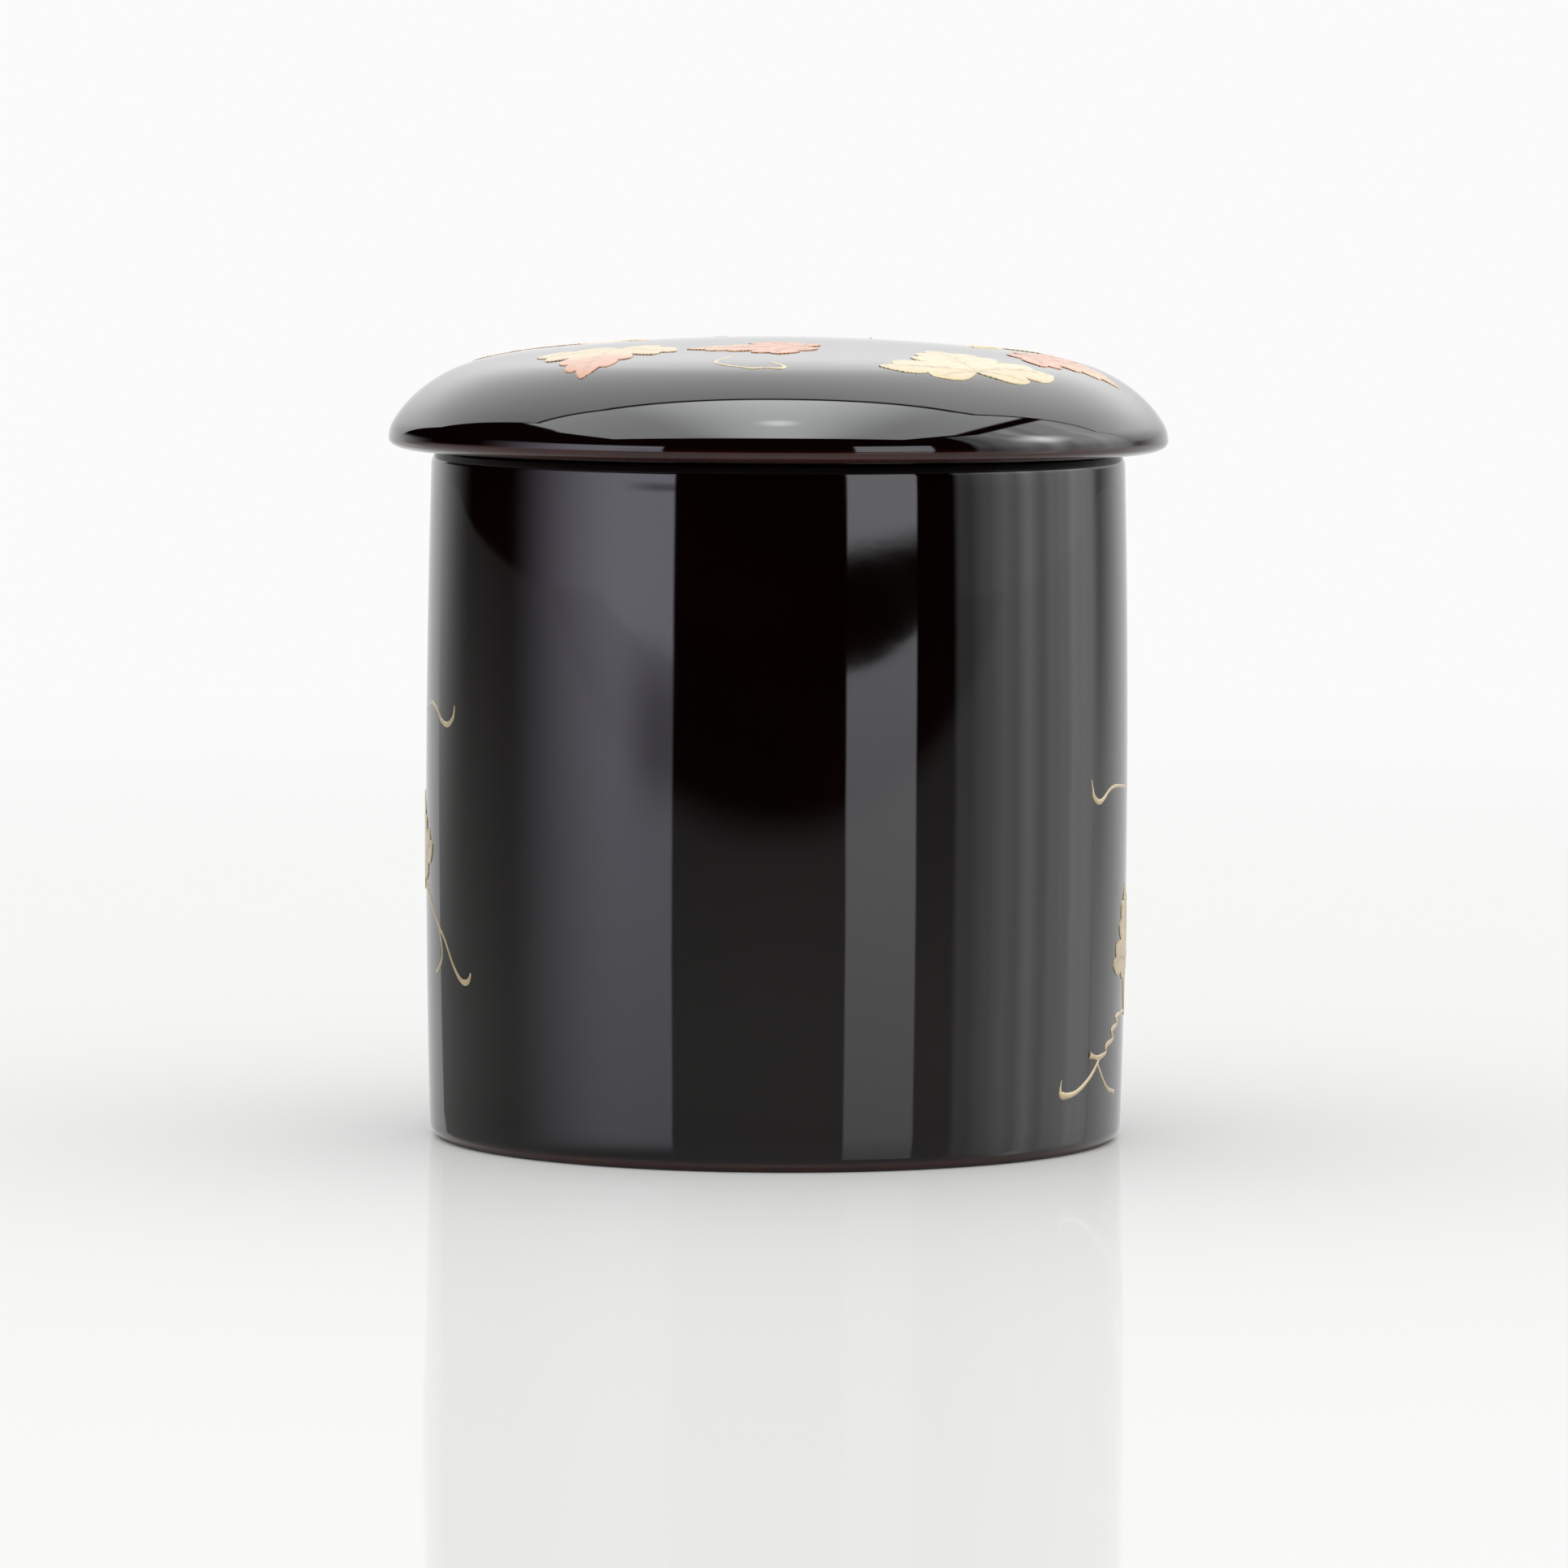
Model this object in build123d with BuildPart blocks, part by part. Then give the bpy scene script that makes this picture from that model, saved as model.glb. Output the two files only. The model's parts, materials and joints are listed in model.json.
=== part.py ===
from build123d import *
from math import cos, radians, sin, sqrt
import os

# A turned and lacquered wooden bowl with a lift-off lid, decorated with raised gold vine leaves.
# Millimetres, +Z up, origin on the bowl's axis in the plane that the foot ring stands on.
# A turn is an angle about the axis in degrees, from the front (-Y) towards the right (+X).

# Bowl
body_height = 78.3          # foot to the flat land that the lid sits on
end_radius = 39.45          # outside, at the foot and at the rim
belly_swell = 0.55          # how far the wall swells out half way up
wall = 2.95                 # at the rim
floor_thickness = 3.6
foot_ring_width = 4.5
foot_recess = 1.2
foot_round = 1.5            # outer edge of the foot
foot_inner_round = 0.5
rim_round = 1.5             # outer edge of the rim
mouth_round = 0.5           # inner edge of the rim
hollow_round = 9.0          # floor into wall, inside

# Lid
lid_overhang = 4.9          # past the bowl's rim
shoulder_arcs = ((3.6, 30), (12, 15), (17, 31), (50, 7.5))   # radius and turn, from the lip upwards
lip_round = 1.0             # under the widest line
lip_turn = 60
under_round = 3.5           # from the lip round to the flat seat
lid_thickness = 2.8         # at the crown
ring_clearance = 0.9        # all round, between the locating ring and the bowl's mouth
ring_wall = 2.2
ring_depth = 4.5            # below the seat
ring_round = 0.8
cove_round = 6.0            # ring into crown, inside

# Raised decoration
relief = 0.12               # height of the leaves above the lacquer
line_relief = 0.1           # height of the tendrils
line_width = 0.5

mouth_radius = end_radius - wall
lid_radius = end_radius + lid_overhang
lip_height = lip_round * sin(radians(lip_turn)) + under_round * (1 - sin(radians(lip_turn)))
widest_height = body_height + lip_height
ring_outer = mouth_radius - ring_clearance
ring_inner = ring_outer - ring_wall
crown_slope = 90 - sum(turn for radius, turn in shoulder_arcs)


def shoulder_size():
    """How far the shoulder comes in from the lid's widest line, and how far it climbs."""
    reach, climb, heading = 0, 0, 0
    for radius, turn in shoulder_arcs:
        after = heading + turn
        reach += radius * (cos(radians(heading)) - cos(radians(after)))
        climb += radius * (sin(radians(after)) - sin(radians(heading)))
        heading = after
    return reach, climb


shoulder_reach, shoulder_climb = shoulder_size()
crown_radius = (lid_radius - shoulder_reach) / sin(radians(crown_slope))
crown_rise = crown_radius * (1 - cos(radians(crown_slope)))
top_height = widest_height + shoulder_climb + crown_rise


def crown_level(x, cut):
    """Height of the crown's sphere, cut mm below the surface, at x mm from the axis."""
    return top_height - crown_radius + sqrt((crown_radius - cut) ** 2 - x**2)


def wall_line(proud):
    """The bowl's outer wall from foot to rim, proud mm outside the lacquer."""
    ThreePointArc(
        (end_radius + proud, 0),
        (end_radius + belly_swell + proud, body_height / 2),
        (end_radius + proud, body_height),
    )


def dome_line(proud):
    """The lid's top from the widest line to the axis, proud mm outside the lacquer."""
    point, heading = Vector(lid_radius + proud, widest_height), Vector(0, 1)
    for radius, turn in shoulder_arcs:
        arc = JernArc(start=point, tangent=heading, radius=radius + proud, arc_size=turn)
        point, heading = arc @ 1, arc % 1
    TangentArc(point, (0, top_height + proud), tangent=heading)


def round_corner(profile, x, z, radius):
    """Round the corner of a profile that lies nearest to x, z."""
    fillet(profile.vertices().sort_by_distance((x, z))[0], radius)


with BuildPart() as bowl_body:
    with BuildSketch(Plane.XZ) as section:
        with BuildLine():
            wall_line(0)
            Polyline(
                (end_radius, body_height),
                (mouth_radius, body_height),
                (mouth_radius, floor_thickness),
                (0, floor_thickness),
                (0, foot_recess),
                (end_radius - foot_ring_width, foot_recess),
                (end_radius - foot_ring_width, 0),
                (end_radius, 0),
            )
        make_face()
        round_corner(section, end_radius, 0, foot_round)
        round_corner(section, end_radius - foot_ring_width, 0, foot_inner_round)
        round_corner(section, end_radius, body_height, rim_round)
        round_corner(section, mouth_radius, body_height, mouth_round)
        round_corner(section, mouth_radius, floor_thickness, hollow_round)
    revolve(axis=Axis.Z)

with BuildPart() as lid:
    with BuildSketch(Plane.XZ) as section:
        with BuildLine():
            dome_line(0)
            lip = JernArc(
                start=(lid_radius, widest_height), tangent=(0, -1), radius=lip_round, arc_size=-lip_turn
            )
            under = JernArc(start=lip @ 1, tangent=lip % 1, radius=under_round, arc_size=lip_turn - 90)
            Polyline(
                under @ 1,
                (ring_outer, body_height),
                (ring_outer, body_height - ring_depth),
                (ring_inner, body_height - ring_depth),
                (ring_inner, crown_level(ring_inner, lid_thickness)),
            )
            ThreePointArc(
                (ring_inner, crown_level(ring_inner, lid_thickness)),
                (ring_inner / 2, crown_level(ring_inner / 2, lid_thickness)),
                (0, crown_level(0, lid_thickness)),
            )
            Line((0, crown_level(0, lid_thickness)), (0, top_height))
        make_face()
        round_corner(section, ring_outer, body_height - ring_depth, ring_round)
        round_corner(section, ring_inner, body_height - ring_depth, ring_round)
        round_corner(section, ring_inner, crown_level(ring_inner, lid_thickness), cove_round)
    revolve(axis=Axis.Z)

# One half of a three-lobed, toothed vine leaf. The stalk meets it at 0, 0, and its tip is at 0, 1.
half_leaf = (
    (0.00, 0.00),
    (0.24, -0.15),
    (0.47, -0.08),
    (0.50, 0.02),
    (0.72, 0.04),
    (0.88, 0.24),
    (0.71, 0.29),
    (0.66, 0.43),
    (0.37, 0.38),
    (0.44, 0.57),
    (0.30, 0.63),
    (0.27, 0.80),
    (0.14, 0.82),
    (0.00, 1.00),
)
edge_bulge = 0.02           # how far each stretch of the leaf's edge bows outwards


def leaf_outline(length, spread, heading):
    """Sketch a leaf: length from stalk to tip, spread widens it, heading turns its tip left of +Y."""
    with BuildSketch(mode=Mode.PRIVATE) as outline:
        with BuildLine():
            for side in (1, -1):
                corners = [(side * spread * length * x, length * y) for x, y in half_leaf]
                for start, end in zip(corners, corners[1:]):
                    SagittaArc(start, end, -side * edge_bulge * length)
        make_face()
    add(outline.sketch.rotate(Axis.Z, heading))


def keep_on_wall(proud):
    """Cut what has been extruded down to a skin that hugs the bowl's wall."""
    with BuildSketch(Plane.XZ) as band:
        with BuildLine():
            wall_line(0)
            Line((end_radius, body_height), (end_radius + proud, body_height))
            wall_line(proud)
            Line((end_radius + proud, 0), (end_radius, 0))
        make_face()
    revolve(band.sketch, axis=Axis.Z, mode=Mode.INTERSECT)


def keep_on_dome(proud):
    """Cut what has been extruded down to a skin that hugs the lid's top."""
    with BuildSketch(Plane.XZ) as band:
        with BuildLine():
            dome_line(0)
            Line((0, top_height), (0, top_height + proud))
            dome_line(proud)
            Line((lid_radius + proud, widest_height), (lid_radius, widest_height))
        make_face()
    revolve(band.sketch, axis=Axis.Z, mode=Mode.INTERSECT)


def wall_plane(turn, height):
    """A plane across the bowl's wall: X to the right and Y up, as seen from outside."""
    outwards = Vector(sin(radians(turn)), -cos(radians(turn)), 0)
    along = Vector(cos(radians(turn)), sin(radians(turn)), 0)
    return Plane(origin=outwards * mouth_radius + Vector(0, 0, height), x_dir=along, z_dir=outwards)


def dome_spot(turn, share):
    """A point in plan, a share of the lid's radius out from its axis."""
    out = share * lid_radius
    return (out * sin(radians(turn)), -out * cos(radians(turn)))


# Leaves on the lid: turn, share of the lid's radius, length, spread, heading of the tip
lid_leaves = {
    "lid_leaf_front_left": (-50, 0.53, 16.0, 0.58, 165),
    "lid_leaf_front_middle": (7.7, 0.42, 13.0, 0.55, 95),
    "lid_leaf_front_right": (38.5, 0.81, 12.5, 1.00, 27),
    "lid_leaf_right": (72, 0.66, 11.0, 0.80, -100),
    "lid_leaf_back_right": (118, 0.60, 15.0, 0.75, -70),
    "lid_leaf_back": (166, 0.84, 13.0, 0.90, -170),
    "lid_leaf_back_left": (-148, 0.52, 14.5, 0.80, 30),
    "lid_leaf_left": (-112, 0.80, 12.0, 0.90, -110),
}
# Leaves on the bowl: turn, share of the bowl's height, length, spread, heading of the tip
body_leaves = {
    "body_leaf_left": (-86, 0.385, 9.5, 0.85, 12),
    "body_leaf_right": (85, 0.26, 9.5, 0.95, 15),
    "body_leaf_back_right": (122, 0.62, 14.0, 1.00, 160),
    "body_leaf_back": (158, 0.36, 13.0, 0.95, -150),
    "body_leaf_back_low": (-172, 0.75, 12.0, 0.95, 150),
    "body_leaf_back_left": (-132, 0.60, 14.0, 1.00, -165),
}
# Tendrils on the lid: each a run of turns and shares of the lid's radius
lid_tendril_runs = (
    ((-11, 0.62), (-13, 0.70), (-10, 0.75), (-5, 0.755), (0, 0.745), (-2.5, 0.70)),
    ((82, 0.50), (90, 0.58), (97, 0.56), (101, 0.48)),
    ((128, 0.30), (140, 0.36), (152, 0.44), (149, 0.50)),
    ((-176, 0.52), (-165, 0.42), (-150, 0.34), (-140, 0.22)),
    ((-100, 0.52), (-108, 0.42), (-98, 0.34), (-86, 0.36)),
)
# Tendrils on the bowl: each a run of turns and shares of the bowl's height
body_tendril_runs = (
    ((-84, 0.655), (-76, 0.665), (-70, 0.66), (-65, 0.68)),
    ((-82, 0.37), (-79, 0.34), (-73, 0.31), (-68, 0.26), (-62, 0.225), (-58, 0.235)),
    ((-84, 0.29), (-79, 0.255), (-74, 0.265)),
    ((62, 0.505), (67, 0.52), (72, 0.50), (78, 0.495), (83, 0.515)),
    ((85, 0.245), (82, 0.21), (80, 0.17)),
    ((88, 0.055), (80, 0.09), (72, 0.12), (64, 0.11), (57, 0.14), (52, 0.175)),
    ((118, 0.66), (110, 0.72), (104, 0.69), (100, 0.74)),
    ((136, 0.44), (142, 0.50), (150, 0.47), (153, 0.40)),
    ((176, 0.33), (-174, 0.30), (-164, 0.36), (-158, 0.33)),
    ((-150, 0.72), (-142, 0.80), (-132, 0.76), (-126, 0.82)),
    ((-118, 0.38), (-110, 0.32), (-102, 0.36), (-96, 0.30)),
)


def save(piece, name):
    """Label a finished piece and write its file."""
    piece.part.label = name
    export_step(piece.part, "parts/" + name + ".step")


os.makedirs("parts", exist_ok=True)
save(bowl_body, "bowl_body")
save(lid, "lid")

for name, (turn, share, length, spread, heading) in lid_leaves.items():
    x, y = dome_spot(turn, share)
    with BuildPart() as leaf:
        with BuildSketch(Plane(origin=(x, y, widest_height))):
            leaf_outline(length, spread, heading)
        extrude(amount=top_height)
        keep_on_dome(relief)
    save(leaf, name)

for name, (turn, share, length, spread, heading) in body_leaves.items():
    with BuildPart() as leaf:
        with BuildSketch(wall_plane(turn, share * body_height)):
            leaf_outline(length, spread, heading)
        extrude(amount=end_radius)
        keep_on_wall(relief)
    save(leaf, name)

with BuildPart() as lid_tendrils:
    for run in lid_tendril_runs:
        with BuildSketch(Plane.XY.offset(widest_height)):
            with BuildLine():
                Spline([dome_spot(turn, share) for turn, share in run])
            trace(line_width=line_width)
        extrude(amount=top_height)
    keep_on_dome(line_relief)
save(lid_tendrils, "lid_tendrils")

with BuildPart() as body_tendrils:
    for run in body_tendril_runs:
        middle = sum(turn % 360 for turn, share in run) / len(run)
        with BuildSketch(wall_plane(middle, 0)):
            with BuildLine():
                Spline(
                    [
                        (end_radius * sin(radians(turn - middle)), share * body_height)
                        for turn, share in run
                    ]
                )
            trace(line_width=line_width)
        extrude(amount=end_radius)
    keep_on_wall(line_relief)
save(body_tendrils, "body_tendrils")
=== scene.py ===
import json
from math import acos, asin, atan2, cos, degrees, hypot, pi, radians, sin, sqrt, tau

import bpy
from mathutils import Matrix, Vector
from mathutils.kdtree import KDTree


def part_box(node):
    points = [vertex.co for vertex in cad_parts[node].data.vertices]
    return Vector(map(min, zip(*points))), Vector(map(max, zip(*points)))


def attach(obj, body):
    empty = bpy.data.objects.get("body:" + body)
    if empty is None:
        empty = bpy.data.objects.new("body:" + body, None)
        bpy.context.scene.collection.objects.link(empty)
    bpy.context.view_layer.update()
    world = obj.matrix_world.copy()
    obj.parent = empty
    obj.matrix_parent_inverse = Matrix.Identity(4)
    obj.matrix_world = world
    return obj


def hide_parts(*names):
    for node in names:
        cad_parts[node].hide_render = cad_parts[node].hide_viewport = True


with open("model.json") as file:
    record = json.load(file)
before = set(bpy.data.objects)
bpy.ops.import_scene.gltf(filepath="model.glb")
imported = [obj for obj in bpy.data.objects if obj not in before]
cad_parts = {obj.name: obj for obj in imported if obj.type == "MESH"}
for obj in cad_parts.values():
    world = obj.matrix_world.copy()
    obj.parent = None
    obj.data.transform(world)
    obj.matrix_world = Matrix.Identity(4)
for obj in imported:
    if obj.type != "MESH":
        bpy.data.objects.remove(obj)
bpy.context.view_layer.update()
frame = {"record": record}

bl_info = {
    "name": "Lidded lacquer bowl",
    "version": (1, 0, 0),
    "blender": (4, 5, 0),
    "location": "3D View > Sidebar > Lacquer bowl",
    "description": "Turns a lacquered bowl and lid and lays raised gold vine leaves on them",
    "category": "Add Mesh",
}

MM = 0.001

# What the frame settles: heights and radii of the turned pieces, in metres
BOWL_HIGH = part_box("bowl_body")[1]
LID_LOW, LID_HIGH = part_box("lid")
LAND_HEIGHT = BOWL_HIGH.z
BELLY_RADIUS = BOWL_HIGH.x
LID_RADIUS = LID_HIGH.x
TOP_HEIGHT = LID_HIGH.z
RING_BOTTOM = LID_LOW.z

# The turned shapes, as the frame's own pieces have them
BELLY_SWELL = 0.55 * MM
END_RADIUS = BELLY_RADIUS - BELLY_SWELL
WALL = 2.95 * MM
MOUTH_RADIUS = END_RADIUS - WALL
FLOOR_TOP = 3.6 * MM
FOOT_RECESS = 1.2 * MM
FOOT_WIDTH = 4.5 * MM
FOOT_INNER = END_RADIUS - FOOT_WIDTH
RING_PLAY = 0.9 * MM
RING_OUTER = MOUTH_RADIUS - RING_PLAY
RING_WALL = 2.2 * MM
RING_INNER = RING_OUTER - RING_WALL
LID_THICKNESS = 2.8 * MM
LIP_ROUND, LIP_TURN = 1.0 * MM, 60
UNDER_ROUND = 3.5 * MM
SHOULDER_ARCS = ((3.6 * MM, 30), (12 * MM, 15), (17 * MM, 31), (50 * MM, 7.5))
CROWN_SLOPE = 90 - sum(turn for radius, turn in SHOULDER_ARCS)
LIP_SHARE = sin(radians(LIP_TURN))
WIDEST_HEIGHT = LAND_HEIGHT + LIP_ROUND * LIP_SHARE + UNDER_ROUND * (1 - LIP_SHARE)

# How finely the turned shapes are drawn
SPIN_STEPS = 288
CROWN_PIECES = 16
ARC_STEP = 0.35 * MM
BOWL_STEP, LID_STEP = 2.4 * MM, 1.5 * MM
WELD = 0.002 * MM
SMOOTH_ANGLE, LEAF_SMOOTH_ANGLE = 50, 60

# Raised decoration
LEAF_RELIEF = 0.115 * MM
TENDRIL_RELIEF = 0.095 * MM
TENDRIL_BED = 0.3                    # how deep a line's round underside is kept, up to the bedding
TENDRIL_PIECES, TENDRIL_SIDES = 24, 4
TENDRIL_WELD = 0.003 * MM
SUNK = 0.03 * MM                     # how far a skin's underside is bedded in the lacquer


class TurningSizes(bpy.types.PropertyGroup):
    """Sizes and colours of the lacquer."""

    black: bpy.props.FloatVectorProperty(
        name="Lacquer", description="Colour of the deep lacquer", subtype="COLOR", size=3,
        default=(0.0020, 0.0005, 0.0004), min=0, max=1,
    )
    # Red-brown laid in patches near the lip and foot edges
    edge_red_brown: bpy.props.FloatVectorProperty(
        name="Thin edge", description="Red-brown that shows where the lacquer is thin", subtype="COLOR",
        size=3, default=(0.040, 0.007, 0.005), min=0, max=1,
    )
    roughness: bpy.props.FloatProperty(
        name="Polish", description="Roughness of the polished lacquer", default=0.025, min=0, max=1,
    )


class LeafSizes(bpy.types.PropertyGroup):
    """Sizes and colours of the raised gold."""

    gold: bpy.props.FloatVectorProperty(
        name="Gold", description="Gold powder", subtype="COLOR", size=3, default=(0.58, 0.47, 0.28), min=0,
        max=1,
    )
    red_gold: bpy.props.FloatVectorProperty(
        name="Red gold", description="Red-gold powder", subtype="COLOR", size=3,
        default=(0.49, 0.24, 0.13), min=0, max=1,
    )
    vein_depth: bpy.props.FloatProperty(
        name="Vein depth", description="How deep the veins are cut into a leaf", unit="LENGTH",
        default=0.07 * MM, min=0,
    )
    tendril_width: bpy.props.FloatProperty(
        name="Tendril width", description="Width of a drawn tendril", unit="LENGTH", default=0.50 * MM,
        min=0,
    )


# ---------------------------------------------------------------- outlines


def rounded_line(corners, step):
    """Points along straight runs between corners (radius out, height, rounding), arcs at the corners."""
    points = [Vector(corners[0][:2])]
    for before, here, after in zip(corners, corners[1:], corners[2:]):
        corner = Vector(here[:2])
        back = (Vector(before[:2]) - corner).normalized()
        ahead = (Vector(after[:2]) - corner).normalized()
        rounding = here[2]
        half = acos(max(-1, min(1, back.dot(ahead)))) / 2
        reach = rounding / sin(half) * cos(half)
        centre = corner + (back + ahead).normalized() * rounding / sin(half)
        run_to(points, corner + back * reach, step)
        start = corner + back * reach - centre
        turn = pi - 2 * half
        if start.x * ahead.y - start.y * ahead.x < 0:
            turn = -turn
        pieces = max(6, round(abs(turn) * rounding / ARC_STEP))
        for i in range(1, pieces + 1):
            angle = turn * i / pieces
            points.append(centre + Vector((start.x * cos(angle) - start.y * sin(angle),
                                           start.x * sin(angle) + start.y * cos(angle))))
    run_to(points, Vector(corners[-1][:2]), step)
    return points


def run_to(points, end, step):
    """Carry a line of points straight on to end, in runs of about step."""
    start = points[-1]
    pieces = max(1, round((end - start).length / step))
    points.extend(start.lerp(end, i / pieces) for i in range(1, pieces + 1))


def tangent_arcs(start, heading, arcs, pieces_per_degree=0.4):
    """Points along arcs (radius, turn in degrees) that each leave the last one's end in its direction."""
    points = []
    point, heading = Vector(start), radians(heading)
    for radius, turn in arcs:
        side = 1 if turn > 0 else -1
        centre = point + Vector((-sin(heading), cos(heading))) * radius * side
        pieces = max(4, round(abs(turn) * pieces_per_degree))
        for i in range(1, pieces + 1):
            angle = heading + radians(turn) * i / pieces
            points.append(centre - Vector((-sin(angle), cos(angle))) * radius * side)
        point, heading = points[-1], heading + radians(turn)
    return points


def wall_radius(height):
    """Radius of the bowl's outer wall at a height."""
    middle = LAND_HEIGHT / 2
    return END_RADIUS + BELLY_SWELL * (1 - ((height - middle) / middle) ** 2)


SHOULDER = tangent_arcs((LID_RADIUS, WIDEST_HEIGHT), 90, SHOULDER_ARCS, 1.2)
CROWN_RADIUS = SHOULDER[-1].x / sin(radians(CROWN_SLOPE))


def crown_level(out, cut=0):
    """Height of the crown at a distance out from the axis, cut below its surface."""
    return TOP_HEIGHT - CROWN_RADIUS + sqrt((CROWN_RADIUS - cut) ** 2 - out**2)


def dome_level(out):
    """Height of the lid's top at a distance out from its axis."""
    if out <= SHOULDER[-1].x:
        return crown_level(out)
    above = Vector((LID_RADIUS, WIDEST_HEIGHT))
    for point in SHOULDER:
        if point.x <= out:
            share = (out - point.x) / (above.x - point.x)
            return point.y + (above.y - point.y) * share
        above = point
    return above.y


# ---------------------------------------------------------------- hands


def clear_selection():
    if bpy.context.object and bpy.context.object.mode != "OBJECT":
        bpy.ops.object.mode_set(mode="OBJECT")
    bpy.ops.object.select_all(action="DESELECT")


def seed_vertex(name):
    """A new object with one vertex, left in edit mode with that vertex selected."""
    clear_selection()
    bpy.ops.mesh.primitive_plane_add(size=MM, location=(0, 0, 0))
    piece = bpy.context.object
    piece.name = piece.data.name = name
    bpy.ops.object.mode_set(mode="EDIT")
    bpy.ops.mesh.select_all(action="SELECT")
    bpy.ops.mesh.merge(type="CENTER")
    return piece


def turn_on_lathe(name, outline):
    """Spin an outline of (radius out, height) points about Z into a closed turned piece."""
    piece = seed_vertex(name)
    bpy.ops.transform.translate(value=(outline[0].x, 0, outline[0].y))
    for here, after in zip(outline, outline[1:]):
        move = (after.x - here.x, 0, after.y - here.y)
        bpy.ops.mesh.extrude_region_move(TRANSFORM_OT_translate={"value": move})
    bpy.ops.mesh.select_all(action="SELECT")
    bpy.ops.mesh.spin(steps=SPIN_STEPS, angle=tau, center=(0, 0, 0), axis=(0, 0, 1))
    bpy.ops.mesh.select_all(action="SELECT")
    bpy.ops.mesh.remove_doubles(threshold=WELD)
    bpy.ops.mesh.normals_make_consistent(inside=False)
    bpy.ops.object.mode_set(mode="OBJECT")
    bpy.ops.object.shade_smooth_by_angle(angle=radians(SMOOTH_ANGLE))
    return piece


def finish_piece(piece, body, slot, material, *nodes):
    """Give a piece its material and body, and let it stand for its CAD nodes; slot is not used."""
    piece.data.materials.clear()
    piece.data.materials.append(material)
    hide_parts(*nodes)
    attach(piece, body)


# ---------------------------------------------------------------- materials


class Nodes:
    """Short words for building a material's node tree."""

    def __init__(self, name):
        self.material = bpy.data.materials.new(name)
        self.material.use_nodes = True
        self.tree = self.material.node_tree
        self.shader = self.tree.nodes["Principled BSDF"]

    @classmethod
    def of_world(cls, world):
        """The same short words for a world's node tree."""
        nodes = cls.__new__(cls)
        nodes.tree = world.node_tree
        return nodes

    def plus(self, first, second):
        """Two colours added."""
        node = self.add("ShaderNodeVectorMath", operation="ADD")
        self.join(first, node.inputs[0])
        self.join(second, node.inputs[1])
        return node.outputs[0]

    def lit(self, share, strength, tint):
        """A tint as strong as share says."""
        node = self.add("ShaderNodeVectorMath", operation="SCALE")
        node.inputs[0].default_value = [strength * channel for channel in tint]
        self.join(share, node.inputs["Scale"])
        return node.outputs[0]

    def add(self, kind, **settings):
        node = self.tree.nodes.new(kind)
        for key, value in settings.items():
            setattr(node, key, value)
        return node

    def join(self, source, target):
        self.tree.links.new(source, target)

    def feed(self, value, socket):
        """Set a socket to a number or a colour, or join another socket to it."""
        if isinstance(value, bpy.types.NodeSocket):
            self.join(value, socket)
        elif isinstance(value, (int, float)):
            socket.default_value = value
        else:
            socket.default_value = (*value, 1)

    def math(self, operation, first, second=None):
        node = self.add("ShaderNodeMath", operation=operation)
        self.feed(first, node.inputs[0])
        if second is not None:
            self.feed(second, node.inputs[1])
        return node.outputs[0]

    def times(self, first, second):
        return self.math("MULTIPLY", first, second)

    def scaled(self, value, gain, base):
        """A value times gain, with base added."""
        return self.math("ADD", self.times(value, gain), base)

    def noise(self, vector, scale, detail=2.0, roughness=0.5):
        node = self.add("ShaderNodeTexNoise")
        node.inputs["Scale"].default_value = scale
        node.inputs["Detail"].default_value = detail
        node.inputs["Roughness"].default_value = roughness
        self.join(vector, node.inputs["Vector"])
        return node.outputs[0]

    def ramp(self, value, low, high):
        """0 at low, 1 at high, smooth between."""
        node = self.add("ShaderNodeMapRange", interpolation_type="SMOOTHSTEP")
        node.inputs["From Min"].default_value = low
        node.inputs["From Max"].default_value = high
        self.join(value, node.inputs["Value"])
        return node.outputs[0]

    def mix(self, share, first, second):
        node = self.add("ShaderNodeMix", data_type="RGBA")
        self.join(share, node.inputs["Factor"])
        self.feed(first, node.inputs[6])
        self.feed(second, node.inputs[7])
        return node.outputs[2]

    def mix_shaders(self, share, first, second):
        node = self.add("ShaderNodeMixShader")
        self.feed(share, node.inputs[0])
        self.join(first.outputs[0], node.inputs[1])
        self.join(second.outputs[0], node.inputs[2])
        return node

    def bump(self, height, strength, distance, normal=None):
        node = self.add("ShaderNodeBump")
        node.inputs["Strength"].default_value = strength
        node.inputs["Distance"].default_value = distance
        self.join(height, node.inputs["Height"])
        if normal:
            self.join(normal, node.inputs["Normal"])
        return node.outputs[0]


# The lacquer's finish: noise scales are features per metre, and each ramp is where that noise takes hold
CLOUDS, CLOUD_RAMP, CLOUD_LIFT = 26, (0.35, 0.7), 1.7
EDGE_BROWN_SPOTS, EDGE_BROWN_RAMP, EDGE_BROWN_GAIN, EDGE_BROWN_BASE = 160, (0.30, 0.62), 0.45, 0.55
WIPE_MARKS, WIPE_RAMP, WIPE_ROUGHNESS = 90, (0.3, 0.8), 0.02
SLOW_WAVES, WAVE_DEPTH = 38, 0.045 * MM
POLISH_GRAIN, POLISH_DEPTH = 420, 0.0006 * MM
# Height and reach of the edges near which the lacquer is coloured red-brown
FOOT_EDGE = (0.25 * MM, 1.1 * MM)
LIP_EDGE = (WIDEST_HEIGHT - 0.6 * MM, 0.9 * MM)
EDGE_BROWN_CORE = 0.3                      # share of an edge's reach over which the red-brown is at its strongest
LACQUER_IOR = 1.52

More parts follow.
